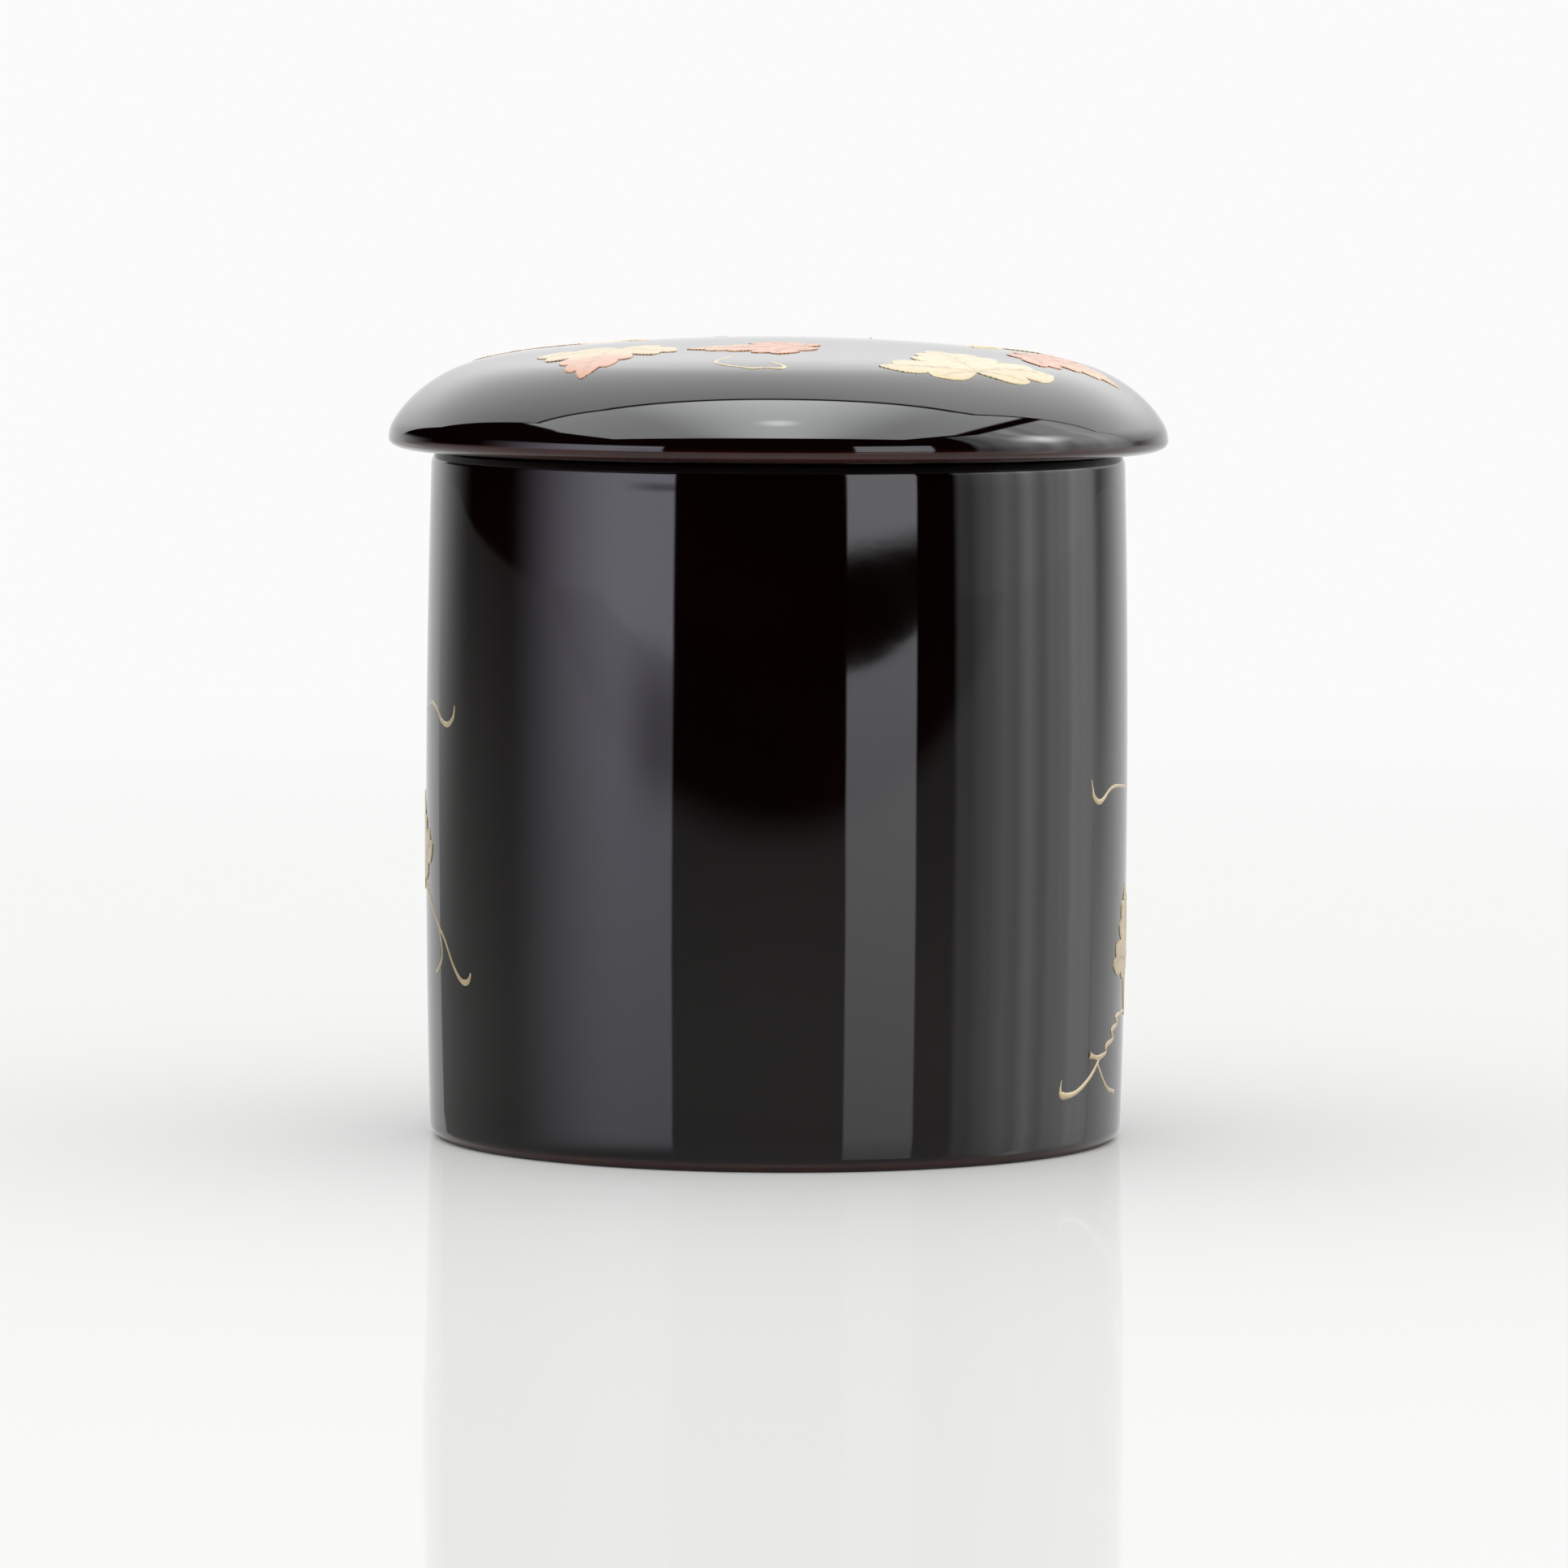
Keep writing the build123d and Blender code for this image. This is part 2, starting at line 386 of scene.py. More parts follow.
# The metal powder's finish
POWDER_DRIFT, DRIFT_SHARE = 420, 0.35
POWDER_GRAIN, GRAIN_DEPTH, GRAIN_STRENGTH = 5200, 0.012 * MM, 0.55
POWDER_PATCHES, PATCH_RAMP, PATCH_SHADE, PATCH_SHARE = 900, (0.25, 0.75), 0.80, 0.35
VEIN_SHADE, VEIN_SHARE = 0.42, 0.8
POWDER_ROUGHNESS, GRAIN_ROUGHNESS = 0.34, 0.22
POWDER_METAL = 0.3
COAT_WEIGHT, COAT_ROUGHNESS = 0.35, 0.12


def lacquer(name, edge_height, reach):
    """Deep maroon-black lacquer, red-brown in patches within reach of an edge's height, hand polished."""
    sizes = bpy.context.scene.bowl_turning
    n = Nodes(name)
    place = n.add("ShaderNodeTexCoord").outputs["Object"]
    height = n.add("ShaderNodeSeparateXYZ")
    n.join(place, height.inputs[0])
    # Red-brown near the edge's height, in patches of noise
    off = n.math("ABSOLUTE", n.math("SUBTRACT", height.outputs["Z"], edge_height))
    near = n.ramp(off, reach, reach * EDGE_BROWN_CORE)
    brown_patches = n.ramp(n.noise(place, EDGE_BROWN_SPOTS, 3), *EDGE_BROWN_RAMP)
    thin = n.times(near, n.scaled(brown_patches, EDGE_BROWN_GAIN, EDGE_BROWN_BASE))
    cloud = n.ramp(n.noise(place, CLOUDS, 2), *CLOUD_RAMP)
    deep = n.mix(cloud, sizes.black, [c * CLOUD_LIFT for c in sizes.black])
    n.join(n.mix(thin, deep, sizes.edge_red_brown), n.shader.inputs["Base Color"])
    wiped = n.ramp(n.noise(place, WIPE_MARKS, 4, 0.6), *WIPE_RAMP)
    n.join(n.scaled(wiped, WIPE_ROUGHNESS, sizes.roughness), n.shader.inputs["Roughness"])
    waves = n.bump(n.noise(place, SLOW_WAVES, 1), 1.0, WAVE_DEPTH)
    n.join(n.bump(n.noise(place, POLISH_GRAIN, 2), 1.0, POLISH_DEPTH, waves), n.shader.inputs["Normal"])
    n.shader.inputs["IOR"].default_value = LACQUER_IOR
    return n.material


def metal_powder(name, colour, second, blend_low, blend_high):
    """Sprinkled metal powder: fine grain and dark veins, shading from colour to second along the leaf."""
    n = Nodes(name)
    place = n.add("ShaderNodeTexCoord").outputs["Object"]
    along = n.add("ShaderNodeAttribute", attribute_name="along")
    vein = n.add("ShaderNodeAttribute", attribute_name="vein")
    drift = n.scaled(n.noise(place, POWDER_DRIFT, 3), DRIFT_SHARE, along.outputs["Fac"])
    hue = n.mix(n.ramp(drift, blend_low, blend_high), colour, second)
    grain = n.noise(place, POWDER_GRAIN, 2, 0.7)
    patch = n.ramp(n.noise(place, POWDER_PATCHES, 3, 0.6), *PATCH_RAMP)
    shade = n.add("ShaderNodeMix", data_type="RGBA", blend_type="MULTIPLY")
    shade.inputs["Factor"].default_value = PATCH_SHARE
    n.join(hue, shade.inputs[6])
    n.join(n.mix(patch, [c * PATCH_SHADE for c in colour], (1, 1, 1)), shade.inputs[7])
    in_vein = n.times(vein.outputs["Fac"], VEIN_SHARE)
    cut = n.mix(in_vein, shade.outputs[2], [c * VEIN_SHADE for c in colour])
    n.join(cut, n.shader.inputs["Base Color"])
    n.join(n.scaled(grain, GRAIN_ROUGHNESS, POWDER_ROUGHNESS), n.shader.inputs["Roughness"])
    n.join(n.bump(grain, GRAIN_STRENGTH, GRAIN_DEPTH), n.shader.inputs["Normal"])
    n.shader.inputs["Metallic"].default_value = POWDER_METAL
    n.shader.inputs["Coat Weight"].default_value = COAT_WEIGHT
    n.shader.inputs["Coat Roughness"].default_value = COAT_ROUGHNESS
    return n.material


def once(name, make):
    """The material of that name, made the first time it is asked for."""
    return bpy.data.materials.get(name) or make(name)


def gold_material(name):
    sizes = bpy.context.scene.bowl_leaves
    return metal_powder(name, sizes.gold, sizes.gold, 0.4, 0.9)


def red_gold_material(name):
    sizes = bpy.context.scene.bowl_leaves
    halfway = [(a + b) / 2 for a, b in zip(sizes.red_gold, sizes.gold)]
    return metal_powder(name, sizes.red_gold, halfway, 0.5, 1.1)


def turning_gold_material(name):
    sizes = bpy.context.scene.bowl_leaves
    return metal_powder(name, sizes.gold, sizes.red_gold, 0.35, 0.85)


# ---------------------------------------------------------------- leaves

# One half of a three-lobed, toothed leaf: the stalk meets it at 0, 0, and its tip is at 0, 1
HALF_LEAF = (
    (0.00, 0.00), (0.24, -0.15), (0.47, -0.08), (0.50, 0.02), (0.72, 0.04), (0.88, 0.24), (0.71, 0.29),
    (0.66, 0.43), (0.37, 0.38), (0.44, 0.57), (0.30, 0.63), (0.27, 0.80), (0.14, 0.82), (0.00, 1.00),
)
EDGE_BULGE, EDGE_PIECES = 0.022, 6
# Main veins run from the stalk to these points, and side veins leave them at these shares
MAIN_VEINS = ((0.0, 0.97), (0.82, 0.235), (-0.82, 0.235), (0.44, -0.075), (-0.44, -0.075))
SIDE_VEINS = (0.28, 0.46, 0.64, 0.80)
MAIN_VEIN_BOW, SIDE_VEIN_BOW = 0.05, 0.35
SIDE_VEIN_ANGLE = 42
SIDE_VEIN_REACH, LOBE_VEIN_REACH = 0.30, 0.20
SIDE_VEINS_END = 1.05                # share of a main vein at which its side veins would have no length
MAIN_VEIN_HALF, SIDE_VEIN_HALF, VEIN_TAPER = 0.0125, 0.0075, 0.6
VEIN_SOFTNESS = 1.6
MAIN_VEIN_PIECES, SIDE_VEIN_PIECES = 100, 24
GRID_STEP, GRID_SHIFT, GRID_WELD = 0.0165, 0.37, 0.0008
LEAF_BOX = ((-0.9, 0.9), (-0.2, 1.0))    # sideways and lengthways reach of the leaf of length 1
EDGE_ROUND = 0.32 * MM               # width of the rounding along a laid leaf's edge
EDGE_THICKNESS = 0.25                # share of the relief that is left at the very edge
WOBBLE = 0.03                        # how far a leaf's outline is pulled about, so that no two are alike
WOBBLE_STEP = 2.1                    # how far the pull moves on from one leaf to the next
SLOPE_REACH = 0.05 * MM              # the dome's slope is taken over this distance to each side

# Turn about the axis from the front, share of the radius or height, length, spread, heading of the tip
LID_LEAVES = {
    "lid_leaf_front_left": (-50, 0.53, 16.0 * MM, 0.58, 165),
    "lid_leaf_front_middle": (7.7, 0.42, 13.0 * MM, 0.55, 95),
    "lid_leaf_front_right": (38.5, 0.81, 12.5 * MM, 1.00, 27),
    "lid_leaf_right": (72, 0.66, 11.0 * MM, 0.80, -100),
    "lid_leaf_back_right": (118, 0.60, 15.0 * MM, 0.75, -70),
    "lid_leaf_back": (166, 0.84, 13.0 * MM, 0.90, -170),
    "lid_leaf_back_left": (-148, 0.52, 14.5 * MM, 0.80, 30),
    "lid_leaf_left": (-112, 0.80, 12.0 * MM, 0.90, -110),
}
BODY_LEAVES = {
    "body_leaf_left": (-86, 0.385, 9.5 * MM, 0.85, 12),
    "body_leaf_right": (85, 0.26, 9.5 * MM, 0.95, 15),
    "body_leaf_back_right": (122, 0.62, 14.0 * MM, 1.00, 160),
    "body_leaf_back": (158, 0.36, 13.0 * MM, 0.95, -150),
    "body_leaf_back_low": (-172, 0.75, 12.0 * MM, 0.95, 150),
    "body_leaf_back_left": (-132, 0.60, 14.0 * MM, 1.00, -165),
}
TURNING_LEAVES = ("lid_leaf_front_left", "lid_leaf_back_right", "body_leaf_back", "lid_leaf_left")

# Tendrils: on the lid the runs are turn, share of the radius, and how much the line swells there
LID_TENDRILS = (
    ((-10.5, 0.605, 0.4), (-12.5, 0.66, 0.6), (-13.5, 0.70, 0.7), (-10.5, 0.735, 0.9), (-7.5, 0.745, 0.6),
     (-5, 0.765, 1.1), (-2, 0.75, 0.7), (0.5, 0.765, 1.3), (1.6, 0.735, 0.9), (-1.8, 0.695, 0.6)),
    ((82, 0.50, 0.8), (88, 0.57, 0.7), (94, 0.575, 0.9), (99, 0.55, 1.5), (101, 0.48, 0.4)),
    ((128, 0.30, 0.8), (140, 0.36, 0.7), (150, 0.43, 0.9), (152, 0.47, 1.5), (149, 0.51, 0.4)),
    ((-176, 0.52, 0.8), (-165, 0.42, 0.7), (-150, 0.34, 0.9), (-142, 0.26, 1.5), (-140, 0.21, 0.4)),
    ((-100, 0.52, 0.8), (-107, 0.43, 0.7), (-100, 0.35, 0.9), (-90, 0.34, 1.5), (-86, 0.38, 0.4)),
)
# On the bowl the runs are turn, height in millimetres, and how much the line swells there
BODY_TENDRILS = (
    ((-83, 48.7, 0.5), (-79, 49.9, 0.7), (-76, 49.8, 0.8), (-73, 49.1, 0.8), (-71, 48.0, 1.0),
     (-68, 47.6, 1.25), (-66, 48.2, 1.1), (-65, 49.1, 0.7), (-65, 50.0, 0.3)),
    ((-83, 29.0, 1.3), (-80, 27.9, 1.1), (-76, 26.4, 0.9), (-73, 24.9, 0.8), (-69, 23.4, 0.8),
     (-66, 21.0, 0.75), (-63, 19.3, 1.0), (-61, 18.9, 1.45), (-59.4, 19.3, 1.25), (-59, 20.2, 0.5)),
    ((-72.4, 24.8, 0.7), (-70.5, 22.5, 0.7), (-70.8, 20.6, 0.8), (-74, 19.4, 1.1)),
    ((62, 42.2, 0.3), (62.5, 41.1, 0.6), (62.8, 40.1, 1.3), (65, 39.4, 1.35), (67, 39.8, 0.9),
     (70, 40.9, 0.8), (75, 41.0, 0.8), (81, 40.5, 0.8)),
    ((86, 21.5, 1.8), (83, 19.0, 1.7), (83, 16.5, 1.5), (84.5, 14.4, 1.2)),
    ((84, 14.8, 0.9), (78, 14.8, 0.9), (75, 14.5, 1.7), (78, 13.8, 0.7), (72, 13.3, 1.6), (75, 12.2, 0.7),
     (69.5, 11.8, 1.6), (70.5, 10.9, 0.7), (66.5, 10.5, 1.3), (64.5, 10.8, 0.8), (62.8, 11.1, 1.7)),
    ((67.8, 10.9, 0.7), (65, 9.3, 0.85), (62, 8.1, 1.0), (58.5, 7.1, 1.15), (56, 6.9, 1.3), (53.8, 7.0, 2.0),
     (53.5, 7.8, 0.5), (53.9, 8.8, 0.25)),
    ((66.0, 10.0, 0.7), (69, 7.7, 0.8), (72.3, 6.4, 0.9), (75.5, 6.1, 1.2)),
    ((118, 51.7, 0.9), (112, 55.5, 0.7), (106, 55.8, 0.8), (103, 54.0, 1.2),
     (100, 55.0, 1.5), (101, 57.2, 0.4)),
    ((136, 34.5, 0.9), (142, 38.8, 0.7), (149, 38.0, 0.9), (153, 35.0, 0.8),
     (152, 31.8, 1.5), (150, 31.4, 0.5)),
    ((174, 26.5, 0.9), (180, 24.0, 0.7), (188, 25.0, 0.9), (194, 27.8, 0.7),
     (200, 26.8, 1.5), (200, 25.0, 0.4)),
    ((-150, 56.4, 0.9), (-142, 61.8, 0.7), (-134, 61.0, 0.9), (-129, 61.6, 1.5), (-126, 64.2, 0.4)),
    ((-118, 29.8, 0.9), (-110, 25.5, 0.7), (-103, 27.4, 0.9), (-98, 25.2, 1.5), (-97, 23.2, 0.4)),
)


def leaf_edge():
    """The whole outline of a leaf of length 1, each stretch bowed a little outwards."""
    points = []
    for side, corners in ((1, HALF_LEAF), (-1, HALF_LEAF[::-1])):
        for start, end in zip(corners, corners[1:]):
            a, b = Vector((side * start[0], start[1])), Vector((side * end[0], end[1]))
            out = Vector((b.y - a.y, a.x - b.x)).normalized()
            for i in range(EDGE_PIECES):
                share = i / EDGE_PIECES
                points.append(a.lerp(b, share) + out * 4 * share * (1 - share) * EDGE_BULGE)
    return points


def vein_half(widest, share):
    """Half width of a vein that tapers from its root to its end."""
    return widest * (1 - VEIN_TAPER * share)


def main_vein(end, share):
    """A spot along a main vein; those to the lobes bow a little."""
    bow = MAIN_VEIN_BOW if end.x > 0 else -MAIN_VEIN_BOW if end.x < 0 else 0.0
    return end * share + Vector((-end.y, end.x)) * bow * sin(pi * share)


def side_vein(end, start, side):
    """Points (place, half width) along a side vein that leaves a main vein at start."""
    angle = atan2(end.y, end.x) + side * radians(SIDE_VEIN_ANGLE)
    reach = (SIDE_VEIN_REACH if end.x == 0 else LOBE_VEIN_REACH) * (SIDE_VEINS_END - start)
    root = main_vein(end, start)
    points = []
    for i in range(SIDE_VEIN_PIECES + 1):
        share = i / SIDE_VEIN_PIECES
        bend = angle - side * SIDE_VEIN_BOW * share
        place = root + Vector((cos(bend), sin(bend))) * reach * share
        points.append((place, vein_half(SIDE_VEIN_HALF, share)))
    return points


def vein_points():
    """Points (place, half width) along the veins of a leaf of length 1."""
    found = []
    for end in map(Vector, MAIN_VEINS):
        for i in range(MAIN_VEIN_PIECES + 1):
            share = i / MAIN_VEIN_PIECES
            found.append((main_vein(end, share), vein_half(MAIN_VEIN_HALF, share)))
        if abs(end.y) < 0.1:         # the two short veins at the stalk have no side veins
            continue
        for start in SIDE_VEINS:
            for side in (1, -1):
                found.extend(side_vein(end, start, side))
    return found


def near_tree(points):
    tree = KDTree(len(points))
    for i, point in enumerate(points):
        tree.insert((point.x, point.y, 0), i)
    tree.balance()
    return tree


def model_flat_leaf():
    """A flat leaf of length 1 in a fine grid, with its veins and its distance from the edge noted."""
    edge = leaf_edge()
    clear_selection()
    bpy.ops.mesh.primitive_circle_add(vertices=len(edge), radius=1, fill_type="NGON")
    leaf = bpy.context.object
    for vertex, point in zip(leaf.data.vertices, edge):
        vertex.co = (point.x, point.y, 0)
    bpy.ops.object.mode_set(mode="EDIT")
    for axis, (low, high) in enumerate(LEAF_BOX):
        for i in range(1, round((high - low) / GRID_STEP)):
            bpy.ops.mesh.select_all(action="SELECT")
            place = low + GRID_STEP * (i + GRID_SHIFT)
            bpy.ops.mesh.bisect(plane_co=(place, place, 0), plane_no=(axis == 0, axis == 1, 0))
    bpy.ops.mesh.select_all(action="SELECT")
    bpy.ops.mesh.remove_doubles(threshold=GRID_WELD)
    bpy.ops.object.mode_set(mode="OBJECT")
    outline = near_tree(edge)
    veins = vein_points()
    vein_tree = near_tree([place for place, width in veins])
    for name in ("edge", "vein", "along"):
        leaf.data.attributes.new(name, "FLOAT", "POINT")
    for vertex in leaf.data.vertices:
        index, far = vein_tree.find(vertex.co)[1:]
        in_vein = max(0, 1 - far / veins[index][1] / VEIN_SOFTNESS)
        leaf.data.attributes["edge"].data[vertex.index].value = outline.find(vertex.co)[2]
        leaf.data.attributes["vein"].data[vertex.index].value = in_vein
        leaf.data.attributes["along"].data[vertex.index].value = vertex.co.y
    return leaf


def lay_leaf(flat, name, length, spread, heading, wobble, on_surface):
    """A copy of the flat leaf, sized, turned and laid on a surface as a closed, rounded skin."""
    clear_selection()
    leaf = bpy.data.objects.new(name, flat.data.copy())
    leaf.data.name = name
    bpy.context.collection.objects.link(leaf)
    leaf.select_set(True)
    bpy.context.view_layer.objects.active = leaf
    bpy.ops.object.mode_set(mode="EDIT")
    bpy.ops.mesh.select_all(action="SELECT")
    bpy.ops.mesh.extrude_region_move(TRANSFORM_OT_translate={"value": (0, 0, -1)})
    bpy.ops.object.mode_set(mode="OBJECT")
    depth = bpy.context.scene.bowl_leaves.vein_depth
    c, s = cos(radians(heading)), sin(radians(heading))
    edge, vein = leaf.data.attributes["edge"].data, leaf.data.attributes["vein"].data
    for vertex in leaf.data.vertices:
        x, y, z = vertex.co
        x += WOBBLE * sin(5 * y + wobble)
        y += WOBBLE * sin(4 * x + 1.7 * wobble)
        x, y = x * spread * length, y * length
        if z < -0.5:
            rise = -SUNK
        else:
            crown = min(1, edge[vertex.index].value * length / EDGE_ROUND)
            thickness = EDGE_THICKNESS + (1 - EDGE_THICKNESS) * sin(crown * pi / 2)
            rise = LEAF_RELIEF * thickness - depth * vein[vertex.index].value * crown
        vertex.co = on_surface(x * c - y * s, x * s + y * c, rise)
    bpy.ops.object.mode_set(mode="EDIT")
    bpy.ops.mesh.select_all(action="SELECT")
    bpy.ops.mesh.normals_make_consistent(inside=False)
    bpy.ops.object.mode_set(mode="OBJECT")
    bpy.ops.object.shade_smooth_by_angle(angle=radians(LEAF_SMOOTH_ANGLE))
    return leaf


def on_lid(turn, share):
    """Lays plan coordinates round a spot on the lid on to its dome."""
    out = share * LID_RADIUS
    x0, y0 = out * sin(radians(turn)), -out * cos(radians(turn))

    def place(x, y, rise):
        here = hypot(x0 + x, y0 + y)
        slope = 0
        if here > 1 * MM:
            fall = dome_level(here + SLOPE_REACH) - dome_level(here - SLOPE_REACH)
            slope = fall / (2 * SLOPE_REACH)
        lift = rise * sqrt(1 + slope * slope)
        return (x0 + x, y0 + y, dome_level(here) + lift)

    return place


def on_wall(turn, share):
    """Lays coordinates across and up from a spot on the bowl's wall on to the wall."""
    height = share * LAND_HEIGHT

    def place(x, y, rise):
        z = height + y
        radius = wall_radius(z)
        angle = radians(turn) + asin(x / radius)
        return ((radius + rise) * sin(angle), -(radius + rise) * cos(angle), z)

    return place


def draw_tendrils(name, runs, spot, level):
    """Drawn lines through runs of spots, swelling and tapering, half bedded in the lacquer."""
    clear_selection()
    width = bpy.context.scene.bowl_leaves.tendril_width
    drawn = []
    for run in runs:
        bpy.ops.curve.primitive_nurbs_path_add()
        line = bpy.context.object
        line.data.splines.clear()
        spline = line.data.splines.new("NURBS")
        spline.points.add(len(run) - 1)
        for point, (turn, share, swell) in zip(spline.points, run):
            point.co = (*spot(turn, share), 1)
            point.radius = swell
        spline.order_u = 3
        spline.use_endpoint_u = True
        spline.resolution_u = TENDRIL_PIECES
        line.data.bevel_depth = width / 2
        line.data.bevel_resolution = TENDRIL_SIDES
        line.data.use_fill_caps = True
        bpy.ops.object.convert(target="MESH")
        drawn.append(line)
    for line in drawn:
        line.select_set(True)
    bpy.context.view_layer.objects.active = drawn[0]
    bpy.ops.object.join()
    piece = bpy.context.object
    piece.name = piece.data.name = name
    bpy.ops.object.transform_apply(location=True, rotation=True, scale=True)
    for key in ("vein", "along"):
        piece.data.attributes.new(key, "FLOAT", "POINT")
    for vertex in piece.data.vertices:
        vertex.co = level(vertex.co, width)
    bpy.ops.object.mode_set(mode="EDIT")
    bpy.ops.mesh.select_all(action="SELECT")
    bpy.ops.mesh.remove_doubles(threshold=TENDRIL_WELD)
    bpy.ops.mesh.normals_make_consistent(inside=False)
    bpy.ops.object.mode_set(mode="OBJECT")
    bpy.ops.object.shade_smooth_by_angle(angle=radians(SMOOTH_ANGLE))
    return piece


def flattened(height, width):
    """Squeeze a round line's height above the surface to the tendrils' relief."""
    if height > 0:
        return height * TENDRIL_RELIEF / (width / 2)
    return max(height * TENDRIL_BED, -SUNK)


def lid_spot(turn, share):
    out = share * LID_RADIUS
    return (out * sin(radians(turn)), -out * cos(radians(turn)), dome_level(out))


def lid_level(place, width):
    surface = dome_level(hypot(place.x, place.y))
    return (place.x, place.y, surface + flattened(place.z - surface, width))


def wall_spot(turn, height):
    height *= MM
    radius = wall_radius(height)
    return (radius * sin(radians(turn)), -radius * cos(radians(turn)), height)


def wall_level(place, width):
    radius, here = wall_radius(place.z), hypot(place.x, place.y)
    share = (radius + flattened(here - radius, width)) / here
    return (place.x * share, place.y * share, place.z)


# ---------------------------------------------------------------- operators


class BOWL_OT_turn_bowl(bpy.types.Operator):
    """Turn the bowl: foot ring, swelling wall, rounded rim, hollow and floor"""

    bl_idname = "lacquer_bowl.turn_bowl"
    bl_label = "Turn the bowl"

    def execute(self, context):
        outline = rounded_line(
            [
                (0, FOOT_RECESS, 0),
                (FOOT_INNER, FOOT_RECESS, 0.3 * MM),
                (FOOT_INNER, 0, 0.5 * MM),
                (END_RADIUS, 0, 1.5 * MM),
                (END_RADIUS, LAND_HEIGHT, 1.5 * MM),
                (MOUTH_RADIUS, LAND_HEIGHT, 0.5 * MM),
                (MOUTH_RADIUS, FLOOR_TOP, 9.0 * MM),
                (0, FLOOR_TOP, 0),
            ],
            BOWL_STEP,
        )
        for point in outline:
            if point.x > (MOUTH_RADIUS + END_RADIUS) / 2:
                point.x += wall_radius(point.y) - END_RADIUS
        bowl = turn_on_lathe("turned_bowl", outline)
        material = lacquer("bowl lacquer", *FOOT_EDGE)
        finish_piece(bowl, "bowl", "lacquer", material, "bowl_body")
        return {"FINISHED"}


class BOWL_OT_turn_lid(bpy.types.Operator):
    """Turn the lid: domed crown, soft shoulder, thin lip, seat and locating ring"""

    bl_idname = "lacquer_bowl.turn_lid"
    bl_label = "Turn the lid"

    def execute(self, context):
        widest = Vector((LID_RADIUS, WIDEST_HEIGHT))
        under = tangent_arcs(widest, -90, ((LIP_ROUND, -LIP_TURN), (UNDER_ROUND, LIP_TURN - 90)), 0.5)
        cove_top = crown_level(RING_INNER, LID_THICKNESS)
        inside = rounded_line(
            [
                (under[-1].x, LAND_HEIGHT, 0),
                (RING_OUTER, LAND_HEIGHT, 0.15 * MM),
                (RING_OUTER, RING_BOTTOM, 0.8 * MM),
                (RING_INNER, RING_BOTTOM, 0.8 * MM),
                (RING_INNER, cove_top, 6.0 * MM),
                (RING_INNER / 2, crown_level(RING_INNER / 2, LID_THICKNESS), 60 * MM),
                (0, crown_level(0, LID_THICKNESS), 0),
            ],
            LID_STEP,
        )
        crown = []
        for i in range(1, CROWN_PIECES + 1):
            angle = radians(CROWN_SLOPE) * (1 - i / CROWN_PIECES)
            crown.append(Vector((CROWN_RADIUS * sin(angle), crown_level(CROWN_RADIUS * sin(angle)))))
        outline = crown[::-1] + SHOULDER[::-1] + [widest] + under + inside[1:]
        lid = turn_on_lathe("turned_lid", outline)
        material = lacquer("lid lacquer", *LIP_EDGE)
        finish_piece(lid, "lid", "lacquer", material, "lid")
        return {"FINISHED"}


class BOWL_OT_lay_leaves(bpy.types.Operator):
    """Lay the raised, veined leaves on the lid and the bowl"""

    bl_idname = "lacquer_bowl.lay_leaves"
    bl_label = "Lay the leaves"

    def execute(self, context):
        flat = model_flat_leaf()
        slots = {entry["node"]: entry["material_slot"] for entry in frame["record"]["subparts"]}
        groups = (("lid", LID_LEAVES, on_lid), ("bowl", BODY_LEAVES, on_wall))
        for body, leaves, surface in groups:
            for number, (node, (turn, share, *shape)) in enumerate(leaves.items()):
                spot = surface(turn, share)
                leaf = lay_leaf(flat, "raised_" + node, *shape, number * WOBBLE_STEP, spot)
                if node in TURNING_LEAVES:
                    material = once("turning gold leaf", turning_gold_material)
                elif slots[node] == "red_gold":
                    material = once("red gold leaf", red_gold_material)
                else:
                    material = once("gold leaf", gold_material)
                finish_piece(leaf, body, slots[node], material, node)
        bpy.data.objects.remove(flat)
        return {"FINISHED"}


class BOWL_OT_draw_tendrils(bpy.types.Operator):
    """Draw the fine gold tendrils on the lid and the bowl"""

    bl_idname = "lacquer_bowl.draw_tendrils"
    bl_label = "Draw the tendrils"

    def execute(self, context):
        material = once("gold leaf", gold_material)
        on_top = draw_tendrils("raised_lid_tendrils", LID_TENDRILS, lid_spot, lid_level)
        finish_piece(on_top, "lid", "gold", material, "lid_tendrils")
        round_wall = draw_tendrils("raised_body_tendrils", BODY_TENDRILS, wall_spot, wall_level)
        finish_piece(round_wall, "bowl", "gold", material, "body_tendrils")
        return {"FINISHED"}


# ---------------------------------------------------------------- stage

# Table and camera, in metres and degrees
TABLE_WIDTH = 5
TABLE_FRONT, TABLE_BACK = -1.4, 3.0
TABLE_FADE = (0.36, 0.80)             # distance out over which the table runs into the white behind
TABLE_DARK = (-0.60, -0.40)           # in front of these the table is painted unlit where the lacquer mirrors it: painted shade
TABLE_UNLIT = (0.02, 0.02, 0.02)
TABLE_SHADED = (0.70, 0.72, 0.70)     # the table as the lacquer mirrors it, painted darker: painted shade
TABLE_COLOUR = (0.955, 0.965, 0.945)
TABLE_GLOSS, TABLE_ROUGHNESS, TABLE_IOR = 0.15, 0.05, 1.33
CAMERA_LENS, CAMERA_SENSOR, CAMERA_CLIP = 209.8, 36, 0.05
CAMERA_PLACE = (0.00083, -1.040, 0.1173)
CAMERA_PITCH, CAMERA_ROLL = 4.244, 0.3
WHITE = 0.965
ROOM_LEVEL = 1.0

